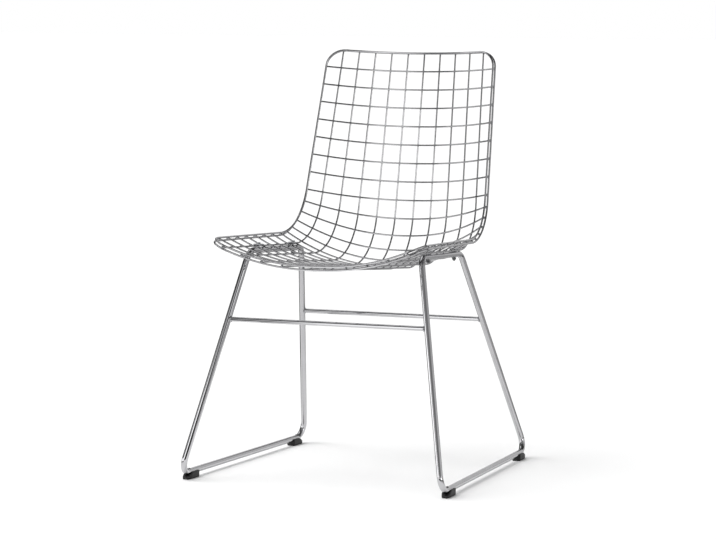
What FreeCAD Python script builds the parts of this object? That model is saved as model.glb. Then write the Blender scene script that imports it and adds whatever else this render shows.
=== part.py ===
import FreeCAD, Part
import math
import os

Vec = FreeCAD.Vector

# Welded wire mesh chair on two sled frames, millimetres.
# +Z is up, the sitter faces -Y, the origin is on the floor under the middle of the box.

doc = FreeCAD.newDocument("wire_mesh_chair")
dims = doc.addObject("Spreadsheet::Sheet", "dims")

SIZES = [
    # wires of the shell
    ("mesh_wire_d", 3.3, "mesh wire, across its flats"),
    ("rim_wire_d", 3.8, "rim wire, across its flats"),
    ("rim_spacing", 6.8, "centre of the front rim wire to centre of the back one"),
    ("weld_gap", 0.25, "clearance left at each weld"),
    ("wire_sides", 8, "flats on a wire"),
    # mesh layout
    ("mesh_rows", 22, "pitches from the top rim to the front rim"),
    ("long_wires", 10, "wires that run down the back and under the seat"),
    ("side_gap", 28.9, "outermost long wire to the side rim"),
    ("long_crowding", 0.04, "how much the long wires crowd towards the sides"),
    ("rim_corner_r", 34.0, "corner radius of the rims"),
    ("half_width_top", 181.1, "half width at the top of the back"),
    ("half_width_front", 219.6, "half width at the front of the seat"),
    ("dish_power", 2.2, "how the hollow of the shell grows to its sides"),
    # profile down the middle of the shell
    ("mid_top_z", 812.0, "height of the middle of the top rim"),
    ("mid_corner_y", 183.9, "where the middle back and seat lines meet, Y"),
    ("mid_corner_z", 382.5, "where the middle back and seat lines meet, Z"),
    ("mid_lean", 11.6, "lean of the middle of the back, degrees"),
    ("mid_rise", 5.0, "rise of the middle of the seat to the front, degrees"),
    ("mid_bend_r", 115.0, "bend between seat and back at the middle"),
    ("mid_bend_row", 8.9, "mesh row where the middle bend starts"),
    ("mid_seat_row", 13.45, "mesh row where the middle bend ends"),
    # profile of the sides of the shell
    ("side_top_z", 819.5, "height of the side lines at the top"),
    ("side_corner_y", 136.0, "where the side back and seat lines meet, Y"),
    ("side_corner_z", 450.6, "where the side back and seat lines meet, Z"),
    ("side_lean", 16.2, "lean of the sides of the back, degrees"),
    ("side_rise", 2.5, "rise of the sides of the seat to the front, degrees"),
    ("side_bend_r", 111.0, "bend between seat and back at the sides"),
    ("side_bend_row", 8.07, "mesh row where the side bend starts"),
    ("side_seat_row", 14.1, "mesh row where the side bend ends"),
    ("seat_front", 250.3, "front rim ahead of the origin"),
    # sled frames
    ("sled_rod_d", 12.0, "rod of the sled frames"),
    ("sled_bend_r", 24.0, "bends of the sled frames, at the rod's centre"),
    ("foot_front", 278.5, "front corner of a sled ahead of the origin"),
    ("foot_rear", 258.3, "rear corner of a sled behind the origin"),
    ("foot_half_rear", 244.7, "half width between the rear corners of the sleds"),
    ("rail_front", 152.2, "front end of a seat rail ahead of the origin"),
    ("rail_rear", 78.7, "rear end of a seat rail behind the origin"),
    ("rail_inset_rear", 5.4, "seat rail inboard of the outermost long wire, behind"),
    ("rail_inset_front", 7.1, "seat rail inboard of the outermost long wire, in front"),
    # stretchers
    ("stretcher_d", 9.0, "rod of the stretchers"),
    ("stretcher_front_z", 309.0, "height of the front stretcher"),
    ("stretcher_rear_z", 290.9, "height of the rear stretcher"),
    # glides
    ("glide_length", 42.0, "glide along the runner"),
    ("glide_width", 17.0, "glide across the runner"),
    ("glide_base", 7.5, "plastic under the runner"),
    ("glide_wrap", 6.5, "how far the glide rises beside the rod from its underside"),
    ("glide_setback", 41.0, "glide's middle from the corner of the sled"),
    ("glide_corner", 3.5, "cut on the upright corners of a glide"),
    ("fit_gap", 0.15, "clearance of the glides and clamps"),
    # clamps
    ("clamp_front_row", 18.4, "mesh row of the front clamps"),
    ("clamp_rear_row", 14.4, "mesh row of the rear clamps"),
    ("clamp_length", 22.0, "clamp plate along the rail"),
    ("clamp_width", 15.0, "clamp plate across the rail"),
    ("clamp_thick", 2.5, "clamp plate thickness"),
    ("screw_d", 4.0, "clamp screw shank"),
    ("screw_hole_d", 4.4, "hole for the clamp screw"),
    ("screw_head_h", 2.6, "height of the clamp screw head"),
    ("nut_across", 7.0, "cap nut and screw head across their flats"),
    ("nut_h", 6.5, "cap nut height"),
]
S = {}
row = 0
for alias, value, note in SIZES:
    row += 1
    dims.set("A%d" % row, note)
    dims.set("B%d" % row, str(value))
    dims.setAlias("B%d" % row, alias)
doc.recompute()
for alias, value, note in SIZES:
    S[alias] = float(dims.get(alias))

problems = []


def box_add(kind, label):
    item = doc.addObject(kind, label)
    item.Label = label
    return item


# The shell. A point on it is set by its row v, from 0 at the top rim to mesh_rows at the
# front rim, and by its share u of the half width, from -1 on the left to 1 on the right.

ROWS = int(S["mesh_rows"])
SIDES = int(S["wire_sides"])


def profile(v, top_z, corner_y, corner_z, lean, rise, bend_r, bend_row, seat_row):
    # straight back, one arc, straight seat
    lean = math.radians(lean)
    rise = math.radians(rise)
    turn = math.pi / 2.0 - lean + rise
    tangent = bend_r * math.tan(turn / 2.0)
    back = (top_z - corner_z) / math.cos(lean) - tangent
    seat = (corner_y + S["seat_front"]) / math.cos(rise) - tangent
    if v <= bend_row:
        up = tangent + back * (bend_row - v) / bend_row
        return (corner_y + up * math.sin(lean), corner_z + up * math.cos(lean))
    if v >= seat_row:
        out = tangent + seat * (v - seat_row) / (ROWS - seat_row)
        return (corner_y - out * math.cos(rise), corner_z + out * math.sin(rise))
    angle = turn * (v - bend_row) / (seat_row - bend_row)
    start_y = corner_y + tangent * math.sin(lean)
    start_z = corner_z + tangent * math.cos(lean)
    centre_y = start_y - bend_r * math.cos(lean)
    centre_z = start_z + bend_r * math.sin(lean)
    # the arc's radius points from its centre to the back line first, then turns under the seat
    way = lean + angle
    return (centre_y + bend_r * math.cos(way), centre_z - bend_r * math.sin(way))


def half_width(v):
    return S["half_width_top"] + (S["half_width_front"] - S["half_width_top"]) * v / ROWS


def shell_point(u, v):
    mid_y, mid_z = profile(v, S["mid_top_z"], S["mid_corner_y"], S["mid_corner_z"],
                           S["mid_lean"], S["mid_rise"], S["mid_bend_r"],
                           S["mid_bend_row"], S["mid_seat_row"])
    side_y, side_z = profile(v, S["side_top_z"], S["side_corner_y"], S["side_corner_z"],
                             S["side_lean"], S["side_rise"], S["side_bend_r"],
                             S["side_bend_row"], S["side_seat_row"])
    blend = abs(u) ** S["dish_power"]
    return Vec(u * half_width(v), mid_y + (side_y - mid_y) * blend,
               mid_z + (side_z - mid_z) * blend)


def shell_normal(u, v):
    # square to the shell, towards the sitter
    step = 0.01
    across = shell_point(u + step, v) - shell_point(u - step, v)
    down = shell_point(u, v + step) - shell_point(u, v - step)
    return across.cross(down).normalize() * -1.0


def long_share(number, v):
    # share of the half width of long wire 1..long_wires, counted from the left
    gaps = (S["long_wires"] - 1.0) / 2.0
    place = (number - 1.0 - gaps) / gaps
    place *= 1.0 + S["long_crowding"] * (1.0 - place * place)
    return place * (half_width(v) - S["side_gap"]) / half_width(v)


LAYER = (S["mesh_wire_d"] + S["weld_gap"]) / 2.0


def layer_point(u, v, height):
    return shell_point(u, v) + shell_normal(u, v) * height


LEAST_TURN = math.radians(0.6)


def bends_only(points, closed):
    # leaves out the points where the path runs straight on
    kept = [points[0]]
    count = len(points)
    for i in range(1, count):
        if not closed and i == count - 1:
            kept.append(points[i])
            continue
        before = points[i] - kept[-1]
        after = points[(i + 1) % count] - points[i]
        if before.getAngle(after) > LEAST_TURN:
            kept.append(points[i])
    return kept


def swept(label, points, radius_text, is_flat_sided, closed, up):
    # one rod along a mitred path; a flat-sided one has a flat towards the given side
    path = doc.addObject("Part::Feature", label + "_path")
    points = bends_only(points, closed)
    line = list(points)
    if closed:
        line.append(points[0])
    path.Shape = Part.makePolygon(line)
    along = (points[1] - points[0]).normalize()
    if is_flat_sided:
        section = doc.addObject("Part::RegularPolygon", label + "_section")
        section.Polygon = SIDES
        section.setExpression("Circumradius", radius_text + " / cos(180 deg / dims.wire_sides)")
        side = up.cross(along).normalize()
        top = along.cross(side).normalize()
        frame = FreeCAD.Rotation(side, top, along, "ZXY")
        half = FreeCAD.Rotation(Vec(0, 0, 1), 180.0 / SIDES)
        section.Placement = FreeCAD.Placement(points[0], frame.multiply(half))
    else:
        section = doc.addObject("Part::Circle", label + "_section")
        section.setExpression("Radius", radius_text)
        section.Placement = FreeCAD.Placement(points[0], FreeCAD.Rotation(Vec(0, 0, 1), along))
    rod = box_add("Part::Sweep", label)
    rod.Sections = [section]
    rod.Spine = (path, [])
    rod.Solid = True
    rod.Frenet = False
    rod.Transition = "Right corner"
    return rod


def rounded(points, radius, steps, closed):
    # a path whose corners become arcs of short chords, drawn so that the chords
    # lie evenly about the true arc
    out = []
    count = len(points)
    for i in range(count):
        here = points[i]
        if not closed and i in (0, count - 1):
            out.append(here)
            continue
        back = (points[i - 1] - here).normalize()
        ahead = (points[(i + 1) % count] - here).normalize()
        turn = math.pi - back.getAngle(ahead)
        reach = radius * math.tan(turn / 2.0)
        axis = (back + ahead).normalize()
        centre = here + axis * (radius / math.cos(turn / 2.0))
        first = here + back * reach - centre
        spin = first.cross(here + ahead * reach - centre).normalize()
        part = turn / steps
        swell = 1.0 / math.cos(part / 2.0)
        for k in range(steps):
            turned = FreeCAD.Rotation(spin, math.degrees((k + 0.5) * part)).multVec(first)
            out.append(centre + turned * swell)
    return out


made = []

# The ten long wires run down the back and forward under the seat, behind the cross wires.
BACK_ROW = min(S["mid_bend_row"], S["side_bend_row"])
FRONT_ROW = max(S["mid_seat_row"], S["side_seat_row"])


def bend_rows():
    # half a pitch apart, so that every weld in the bend falls on a corner of the path
    rows = [BACK_ROW]
    half = math.floor(BACK_ROW * 2.0) + 1
    while half / 2.0 < FRONT_ROW - 0.15:
        if half / 2.0 > BACK_ROW + 0.15:
            rows.append(half / 2.0)
        half += 1
    return rows + [FRONT_ROW]


def rim_inset(share_gap):
    # how far the rounded corner cuts in along the wire, for a wire this far from the side
    reach = S["rim_corner_r"] - share_gap
    if reach <= 0.0:
        return 0.0
    return S["rim_corner_r"] - math.sqrt(S["rim_corner_r"] ** 2 - reach ** 2)


def row_length(u, at_top):
    # length of one pitch at that end, so that a length can be given as a share of a row
    v = 0.0 if at_top else float(ROWS)
    w = v + (0.5 if at_top else -0.5)
    return (shell_point(u, v) - shell_point(u, w)).Length * 2.0


for number in range(1, int(S["long_wires"]) + 1):
    label = "long_wire_%02d" % number
    ends = []
    for at_top in (True, False):
        v = 0.0 if at_top else float(ROWS)
        u = long_share(number, v)
        gap = half_width(v) * (1.0 - abs(u))
        short = S["rim_wire_d"] / 2.0 + S["weld_gap"] + rim_inset(gap)
        if gap < S["rim_corner_r"]:
            short += S["weld_gap"] * 2.0
        ends.append(short / row_length(u, at_top))
    stops = [ends[0]] + bend_rows() + [ROWS - ends[1]]
    points = [layer_point(long_share(number, v), v, -LAYER) for v in stops]
    up = shell_normal(long_share(number, stops[0]), stops[0])
    wire = swept(label, points, "dims.mesh_wire_d / 2", True, False, up)
    made.append(wire)

# The cross wires lie on the long wires, on the sitter's side.
for number in range(1, ROWS):
    label = "cross_wire_%02d" % number
    v = float(number)
    end = 1.0 - (S["rim_wire_d"] / 2.0 + S["weld_gap"]) / half_width(v)
    stops = [-end]
    for k in range(1, int(S["long_wires"]) + 1):
        stops.append(long_share(k, v))
    stops.append(end)
    points = [layer_point(u, v, LAYER) for u in stops]
    up = shell_normal(stops[0], v)
    wire = swept(label, points, "dims.mesh_wire_d / 2", True, False, up)
    made.append(wire)


# Two rim wires close the shell, one on each face of the mesh.
def rim_points(height):
    # the right half, from the middle of the front edge round to the middle of the top
    corner = S["rim_corner_r"]
    steps = 4
    path = []
    # front edge from the middle to the right corner
    for k in range(int(S["long_wires"]) // 2 + 1, int(S["long_wires"]) + 1):
        u = long_share(k, ROWS)
        if half_width(ROWS) * (1.0 - u) > corner + S["mesh_wire_d"]:
            path.append((u * half_width(ROWS), float(ROWS)))
    per_row = row_length(1.0, False)
    for k in range(steps + 1):
        a = math.radians(90.0 * k / steps)
        v = ROWS - corner * (1.0 - math.cos(a)) / per_row
        path.append((half_width(v) - corner * (1.0 - math.sin(a)), v))
    for v in reversed(bend_rows()):
        path.append((half_width(v), v))
    per_row = row_length(1.0, True)
    for k in range(steps + 1):
        a = math.radians(90.0 * k / steps)
        v = corner * (1.0 - math.sin(a)) / per_row
        path.append((half_width(v) - corner * (1.0 - math.cos(a)), v))
    for k in range(int(S["long_wires"]), int(S["long_wires"]) // 2, -1):
        u = long_share(k, 0.0)
        if half_width(0.0) * (1.0 - u) > corner + S["mesh_wire_d"]:
            path.append((u * half_width(0.0), 0.0))
    right = []
    for x, v in path:
        right.append(layer_point(x / half_width(v), v, height))
    # the wire crosses the middle square to it, so that two mirrored halves meet face to face
    return [Vec(0, right[0].y, right[0].z)] + right + [Vec(0, right[-1].y, right[-1].z)]


for label, side in (("rim_front", 1.0), ("rim_back", -1.0)):
    points = rim_points(side * S["rim_spacing"] / 2.0)
    up = shell_normal(0.0, ROWS)
    half = swept(label + "_half", points, "dims.rim_wire_d / 2", True, False, up)
    other = doc.addObject("Part::Mirroring", label + "_mirrored")
    other.Source = half
    other.Normal = Vec(1, 0, 0)
    rim = box_add("Part::Fuse", label)
    rim.Base = half
    rim.Tool = other
    rim.Refine = True
    made.append(rim)

# Sled frames: one bent rod each, closed into a loop, with the seat rail just inboard
# of the outermost long wire, where the cross wires rest on it.
ROD_R = S["sled_rod_d"] / 2.0
RUNNER_Z = S["glide_base"] + ROD_R


def rail_point(v, inset):
    # rod centre just under the cross wires, inboard of the outermost right long wire
    share = long_share(int(S["long_wires"]), v)
    x = layer_point(share, v, -LAYER).x - inset
    below = ROD_R + S["mesh_wire_d"] / 2.0 + S["weld_gap"] - LAYER
    spot = layer_point(share, v, -below)
    for k in range(4):
        share += (x - spot.x) / half_width(v)
        spot = layer_point(share, v, -below)
    return spot


def rail_at(y):
    # the rail is straight, so two rows of the flat part of the seat fix its line
    a = rail_point(FRONT_ROW + 0.2, S["rail_inset_rear"])
    b = rail_point(ROWS - 2.9, S["rail_inset_front"])
    return a + (b - a) * ((y - a.y) / (b.y - a.y))


def sled_corners(side):
    # a sled is flat: its rail and its rear foot fix the plane that its front foot lies in
    rail_a = rail_at(-S["rail_front"])
    rail_b = rail_at(S["rail_rear"])
    rear = Vec(S["foot_half_rear"], S["foot_rear"], RUNNER_Z)
    plane = (rail_b - rail_a).cross(rear - rail_a)
    front = Vec(rear.x, -S["foot_front"], RUNNER_Z)
    front.x += plane.dot(rail_a - front) / plane.x
    found = (("rail_front", rail_a), ("rail_rear", rail_b), ("foot_rear", rear), ("foot_front", front))
    return {name: Vec(side * p.x, p.y, p.z) for name, p in found}


def clamp_frame(side, v):
    # on the rail's centre line beside the outermost long wire, its Y axis along the rail
    share = long_share(int(S["long_wires"]), v)
    wire_at = layer_point(share, v, -LAYER)
    corners = sled_corners(side)
    along = (corners["rail_rear"] - corners["rail_front"]).normalize()
    start = corners["rail_front"]
    spot = start + along * ((wire_at.y - start.y) / along.y)
    across = along.cross(Vec(0, 0, 1)).normalize()
    turned = FreeCAD.Rotation(across, along, across.cross(along), "YZX")
    frame = FreeCAD.Placement(spot, turned)
    wire_high = frame.inverse().multVec(Vec(side * wire_at.x, wire_at.y, wire_at.z)).z
    return frame, wire_high


def local(frame, x, y, z):
    return frame.multiply(FreeCAD.Placement(Vec(x, y, z), FreeCAD.Rotation()))


CLAMPS = [("front", S["clamp_front_row"]), ("rear", S["clamp_rear_row"])]

for label, side in (("sled_left", -1.0), ("sled_right", 1.0)):
    corners = sled_corners(side)
    start = (corners["foot_rear"] + corners["foot_front"]) * 0.5
    steps = 4
    loop = rounded(list(corners.values()), S["sled_bend_r"], steps, True)
    # the loop starts in the middle of its runner
    cut = 3 * steps
    loop = [start] + loop[cut:] + loop[:cut]
    rod = swept(label + "_rod", loop, "dims.sled_rod_d / 2", False, True, Vec(0, 0, 1))
    drills = []
    for where, v in CLAMPS:
        frame, wire_high = clamp_frame(side, v)
        drill = doc.addObject("Part::Cylinder", "%s_hole_%s" % (label, where))
        drill.setExpression("Radius", "dims.screw_hole_d / 2")
        drill.setExpression("Height", "dims.sled_rod_d * 2")
        drill.Placement = local(frame, 0, 0, -S["sled_rod_d"])
        drills.append(drill)
    pair = doc.addObject("Part::MultiFuse", label + "_holes")
    pair.Shapes = drills
    drilled = box_add("Part::Cut", label)
    drilled.Base = rod
    drilled.Tool = pair
    drilled.Refine = True
    made.append(drilled)


# Stretchers between the legs.
def leg_point(top, foot, z):
    return foot + (top - foot) * ((z - foot.z) / (top.z - foot.z))


for end in ("front", "rear"):
    label = "stretcher_" + end
    height = "stretcher_%s_z" % end
    corners = sled_corners(1.0)
    top = corners["rail_" + end]
    foot = corners["foot_" + end]
    at = leg_point(top, foot, S[height])
    lean = abs((top.x - foot.x) / (top - foot).Length)
    clear = (ROD_R + S["weld_gap"]) / math.sqrt(1.0 - lean ** 2)
    clear += S["stretcher_d"] / 2.0 * lean / math.sqrt(1.0 - lean ** 2)
    half = at.x - clear
    bar = box_add("Part::Cylinder", label)
    bar.setExpression("Radius", "dims.stretcher_d / 2")
    bar.Height = 2.0 * half
    bar.Placement = FreeCAD.Placement(Vec(-half, at.y, at.z),
                                      FreeCAD.Rotation(Vec(0, 0, 1), Vec(1, 0, 0)))
    bar.setExpression("Placement.Base.z", "dims." + height)
    made.append(bar)

# Glides: a plastic cradle under each end of each runner.
for end_name, far_name in (("front", "rear"), ("rear", "front")):
    for side_name, side in (("left", -1.0), ("right", 1.0)):
        label = "glide_%s_%s" % (end_name, side_name)
        corners = sled_corners(side)
        corner = corners["foot_" + end_name]
        other = corners["foot_" + far_name]
        along = (other - corner).normalize()
        middle = corner + along * S["glide_setback"]
        turn = math.degrees(math.atan2(-along.x, along.y))
        block = doc.addObject("Part::Box", label + "_block")
        block.setExpression("Length", "dims.glide_width")
        block.setExpression("Width", "dims.glide_length")
        block.setExpression("Height", "dims.glide_base + dims.glide_wrap")
        block.Placement = FreeCAD.Placement(Vec(-S["glide_width"] / 2.0,
                                                -S["glide_length"] / 2.0, 0),
                                            FreeCAD.Rotation())
        block.setExpression("Placement.Base.x", "-dims.glide_width / 2")
        block.setExpression("Placement.Base.y", "-dims.glide_length / 2")
        doc.recompute()
        upright = []
        for i, edge in enumerate(block.Shape.Edges):
            a, b = edge.Vertexes[0].Point, edge.Vertexes[1].Point
            if abs(a.z - b.z) > S["glide_base"]:
                upright.append((i + 1, S["glide_corner"], S["glide_corner"]))
        soft = doc.addObject("Part::Chamfer", label + "_cornered")
        soft.Base = block
        soft.Edges = upright
        channel = doc.addObject("Part::Cylinder", label + "_channel")
        channel.setExpression("Radius", "dims.sled_rod_d / 2 + dims.fit_gap")
        channel.setExpression("Height", "dims.glide_length * 1.5")
        channel.Placement = FreeCAD.Placement(Vec(0, -S["glide_length"] * 0.75, RUNNER_Z),
                                              FreeCAD.Rotation(Vec(0, 0, 1), Vec(0, 1, 0)))
        glide = box_add("Part::Cut", label)
        glide.Base = soft
        glide.Tool = channel
        glide.Placement = FreeCAD.Placement(Vec(middle.x, middle.y, 0),
                                            FreeCAD.Rotation(Vec(0, 0, 1), turn))
        made.append(glide)

# Clamps: a plate over the outermost long wire, a screw down through the rail, a nut under it.
screws = []
nuts = []
for where, v in CLAMPS:
    for side_name, side in (("left", -1.0), ("right", 1.0)):
        label = "clamp_%s_%s" % (where, side_name)
        frame, wire_high = clamp_frame(side, v)
        plate_low = wire_high + S["mesh_wire_d"] / 2.0 + S["fit_gap"] * 2.0
        plate = doc.addObject("Part::Box", label + "_plate")
        plate.setExpression("Length", "dims.clamp_width")
        plate.setExpression("Width", "dims.clamp_length")
        plate.setExpression("Height", "dims.clamp_thick")
        plate.Placement = local(frame, -S["clamp_width"] / 2.0, -S["clamp_length"] / 2.0, plate_low)
        hole = doc.addObject("Part::Cylinder", label + "_hole")
        hole.setExpression("Radius", "dims.screw_hole_d / 2")
        hole.setExpression("Height", "dims.clamp_thick * 3")
        hole.Placement = local(frame, 0, 0, plate_low - S["clamp_thick"])
        drilled = box_add("Part::Cut", label)
        drilled.Base = plate
        drilled.Tool = hole
        made.append(drilled)

        plate_top = plate_low + S["clamp_thick"]
        nut_top = -ROD_R - S["weld_gap"]
        shank = doc.addObject("Part::Cylinder", label + "_shank")
        shank.setExpression("Radius", "dims.screw_d / 2")
        shank.Height = plate_top + S["screw_head_h"] / 2.0 - nut_top - S["weld_gap"]
        shank.Placement = local(frame, 0, 0, nut_top + S["weld_gap"])
        head = doc.addObject("Part::Prism", label + "_head")
        head.Polygon = 6
        head.setExpression("Circumradius", "dims.nut_across / 2 / cos(30 deg)")
        head.setExpression("Height", "dims.screw_head_h")
        head.Placement = local(frame, 0, 0, plate_top + S["weld_gap"])
        screw = doc.addObject("Part::Fuse", label + "_screw")
        screw.Base = head
        screw.Tool = shank
        screws.append(screw)

        # a closed cap nut hangs under the rail
        nut = doc.addObject("Part::Prism", label + "_nut")
        nut.Polygon = 6
        nut.setExpression("Circumradius", "dims.nut_across / 2 / cos(30 deg)")
        nut.setExpression("Height", "dims.nut_h")
        nut.Placement = local(frame, 0, 0, nut_top - S["nut_h"])
        nuts.append(nut)

for label, group in (("clamp_screws", screws), ("clamp_nuts", nuts)):
    together = box_add("Part::Compound", label)
    together.Links = group
    made.append(together)

doc.recompute()

for item in doc.Objects:
    if "Invalid" in item.State or "Error" in item.State:
        problems.append("%s is %s" % (item.Label, item.State))
for item in made:
    if item.Shape.isNull():
        problems.append("%s has no shape" % item.Label)
    elif not item.Shape.isValid():
        problems.append("%s is not a valid solid" % item.Label)
    elif not item.Shape.Solids:
        problems.append("%s holds no solid" % item.Label)
if problems:
    raise RuntimeError("; ".join(problems))

os.makedirs("parts", exist_ok=True)
for item in made:
    item.Shape.exportStep("parts/%s.step" % item.Label)
print("%d nodes written" % len(made))
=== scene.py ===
"""Wire mesh chair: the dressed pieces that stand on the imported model, in metres."""

import math

import bmesh
import bpy
from bpy.props import FloatProperty, FloatVectorProperty, IntProperty, PointerProperty
from bpy.types import Operator, Panel, PropertyGroup
from mathutils import Matrix, Quaternion, Vector


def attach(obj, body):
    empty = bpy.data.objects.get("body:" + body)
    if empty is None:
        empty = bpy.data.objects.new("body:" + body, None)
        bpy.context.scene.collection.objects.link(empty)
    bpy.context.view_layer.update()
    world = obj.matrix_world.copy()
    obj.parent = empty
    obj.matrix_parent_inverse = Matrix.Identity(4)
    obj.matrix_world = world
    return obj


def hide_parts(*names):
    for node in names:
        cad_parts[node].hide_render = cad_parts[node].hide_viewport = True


bl_info = {
    "name": "Wire Mesh Chair",
    "version": (1, 0, 0),
    "blender": (4, 5, 0),
    "location": "3D View > Sidebar > Wire Chair",
    "description": "A welded wire mesh chair on two closed sled frames",
    "category": "Add Mesh",
}

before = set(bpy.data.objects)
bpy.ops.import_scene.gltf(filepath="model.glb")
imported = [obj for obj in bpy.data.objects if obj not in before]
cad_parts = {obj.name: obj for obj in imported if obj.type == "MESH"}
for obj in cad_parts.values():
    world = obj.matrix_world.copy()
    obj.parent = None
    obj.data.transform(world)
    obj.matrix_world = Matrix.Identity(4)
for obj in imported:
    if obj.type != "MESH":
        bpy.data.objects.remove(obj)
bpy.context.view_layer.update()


# Fineness of the meshes
MESH_SIDES = 12
RIM_SIDES = 16
ROD_SIDES = 32
CROSS_STEPS = 36
RIM_END_STEPS = 12
RIM_CORNER_STEPS = 10
SLED_BEND_STEPS = 14
GLIDE_STEPS = 14
BEAD_SIDES = 8
BEAD_RINGS = 5
WELD_SIDES = 10
WELD_STEPS = 28
DOME_SIDES = 24
DOME_RINGS = 14
RIVET_RINGS = 12
DISC_SIDES = 32
SCREW_SIDES = 20
# Turns in radians beyond which an edge is rounded, and beyond which it shades crisp
GLIDE_ROUND = 0.6
GLIDE_CRISP = 0.7
PLATE_ROUND = 1.2
PLATE_CRISP = 0.6
SCREW_CRISP = 0.5
# Steps along the shell, in mesh rows, and the least room at a wire's ends
COARSE_ROW = 0.5
FINE_ROW = 0.125
END_ROOM = 0.05
# Small step in rows and shares by which the shell's slope is taken
SLOPE_STEP = 0.01
# Rows after the bend and before the front rim at which the line of the rail is taken
RAIL_AFTER_BEND = 0.2
RAIL_BEFORE_RIM = 2.9
# Half axes of the weld beads in shares of the mesh wire, the last on the rims of their spacing
CROSSING_BEAD = (0.6, 0.6, 0.36)
RIM_BEAD = (0.95, 0.7, 0.36)
# Rise of the rims' beads in shares of the wire layer, and the rows by which they are turned
SIDE_BEAD_RISE = 0.2
END_BEAD_RISE = -0.4
BEAD_STEP = 0.1
# A stretcher's end and its weld, in shares of the sled rod, and the weld's radius of the stretcher
STRETCHER_END = 0.35
STRETCHER_WELD = 0.47
WELD_RADIUS = 0.2
# Glide details in metres, its slope and taper in shares of its length, and how much it narrows
GLIDE_FIT = 0.0001
GLIDE_CHAMFER = 0.0018
GLIDE_EDGE = 0.0007
GLIDE_LEVEL = 0.06
TAPER_START = 0.2
TAPER_SPAN = 0.3
TAPER = 0.35
# Rivet over a glide, in metres, and its place in a share of the glide's length
RIVET_PLACE = 0.12
RIVET_RADIUS = 0.0034
RIVET_HEIGHT = 0.0019
RIVET_SINK = 0.0006
# Clamp details in metres
PLATE_CORNER = 0.0035
PLATE_EDGE = 0.0005
PLATE_ROOM = 0.0003
NUT_ROOM = 0.0002
WASHER_THICK = 0.0006
WASHER_SINK = 0.0001
HEAD_SINK = 0.0003
# Washer, chamfer, nut body, and crown's start, radius and height, in shares of head and nut
WASHER_RADIUS = 0.62
HEAD_CHAMFER = 0.12
NUT_BODY = 0.52
CROWN_START = 0.48
CROWN_RADIUS = 0.44
CROWN_HEIGHT = 0.5
# The chair's two sides and four corners
SIDES = (("left", -1.0), ("right", 1.0))
CORNERS = [(end, name, side) for end in ("front", "rear") for name, side in SIDES]
# Camera: bearing and height in degrees, target and distance in metres, focal length in pixels
CAMERA_BEARING = 22.76
CAMERA_HEIGHT = 5.84
CAMERA_TARGET = (0.0, -0.0349, 0.3978)
CAMERA_DISTANCE = 5.9947
CAMERA_FOCUS = 3062.4
IMAGE_WIDTH = 716.0
SENSOR_WIDTH = 36.0
# Suns: name, height, spread in degrees and strength, all from one bearing and distance
SUN_BEARING = -67.0
SUN_DISTANCE = 4.0
SUNS = (
    ("overhead", 76.0, 40.0, 1.66),
    ("left", 38.0, 60.0, 2.25),
)
# Light that falls on the chair from all sides, and what the chrome mirrors between screens
FILL = 0.235
GLOOM = 0.04
# Floor: size, glow to the camera, and radii in metres between which its mirror image darkens
FLOOR_HALF = 30.0
FLOOR_GLOW = 0.06
FLOOR_NEAR = 0.45
FLOOR_FAR = 0.75
# Screens that the chrome mirrors: name, first and last bearing and softness in degrees
SCREENS = (
    ("ahead", -24.0, -3.0, 4.0),
    ("left", -70.0, -41.0, 4.0),
    ("far_left", -101.0, -82.0, 6.0),
    ("shoulder", -150.0, -75.0, 8.0),
    ("right", 46.0, 128.0, 8.0),
    ("right_glow", 60.0, 130.0, 12.0),
    ("glow", -40.0, 110.0, 15.0),
)
# The screen behind starts between these bearings, on either side
BEHIND = (135.0, 150.0)
# Name, strength, lower and upper edge in degrees, softness, and whether the leaning edge cuts it
SCREEN_HEIGHTS = (
    ("ahead", 2.2, -10.0, 24.0, 0.03, True),
    ("ahead", 0.25, 22.0, 52.0, 0.04, False),
    ("left", 2.3, -10.0, 22.0, 0.04, True),
    ("far_left", 1.4, -10.0, 8.0, 0.04, False),
    ("right", 2.6, 4.0, 18.0, 0.03, True),
    ("right_glow", 0.25, 14.0, 36.0, 0.08, False),
    ("behind", 0.6, -10.0, 28.0, 0.06, False),
    ("shoulder", 0.9, 40.0, 76.0, 0.04, False),
    ("glow", 0.18, 14.0, 50.0, 0.12, False),
)
# The leaning edge: its lean in degrees, where the light ends, where a weaker rest starts
EDGE_LEAN = 11.6
EDGE_END = (0.142, 0.156)
EDGE_REST = (0.165, 0.19)
EDGE_REST_SHARE = 0.3
# The screens' light on the floor beyond the chair
SCREEN_FLOOR = (
    ("ahead", 1.5),
    ("left", 0.5),
    ("far_left", 0.9),
    ("right", 0.5),
    ("behind", 0.4),
)
# Bright plates: share of the chrome's colour, scale of smears, haze and scale of polish. The mesh
# wires' lower share is painted shade, a darker copy of the same chrome as the rims and rods.
CHROMES = {
    "mesh_wire_chrome": (0.82, 60.0, 0.035, 900.0),
    "rim_wire_chrome": (1.0, 45.0, 0.03, 700.0),
    "frame_rod_chrome": (1.0, 25.0, 0.025, 420.0),
}
# Dull plates: share of the zinc's colour, and how metallic. The nuts' low share is a painted dark
# reflection, a darker copy of the zinc.
ZINCS = {
    "zinc_plate": (1.0, 0.45),
    "nut_plate": (0.45, 1.0),
}
SCUFF = (0.075, 0.075, 0.08, 1.0)
WHITE = (1.0, 1.0, 1.0, 1.0)
BLACK = (0.0, 0.0, 0.0, 1.0)
UP = Vector((0.0, 0.0, 1.0))
RIGHT = Vector((1.0, 0.0, 0.0))


# Sizes and colours


def length(name, millimetres, description):
    return FloatProperty(
        name=name,
        description=description,
        default=millimetres / 1000.0,
        min=0.0,
        unit="LENGTH",
        precision=4,
    )


def angle(name, degrees, description):
    return FloatProperty(
        name=name,
        description=description,
        default=math.radians(degrees),
        unit="ROTATION",
    )


def plain(name, value, description):
    return FloatProperty(name=name, description=description, default=value)


def count(name, value, description):
    return IntProperty(name=name, description=description, default=value, min=3)


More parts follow.
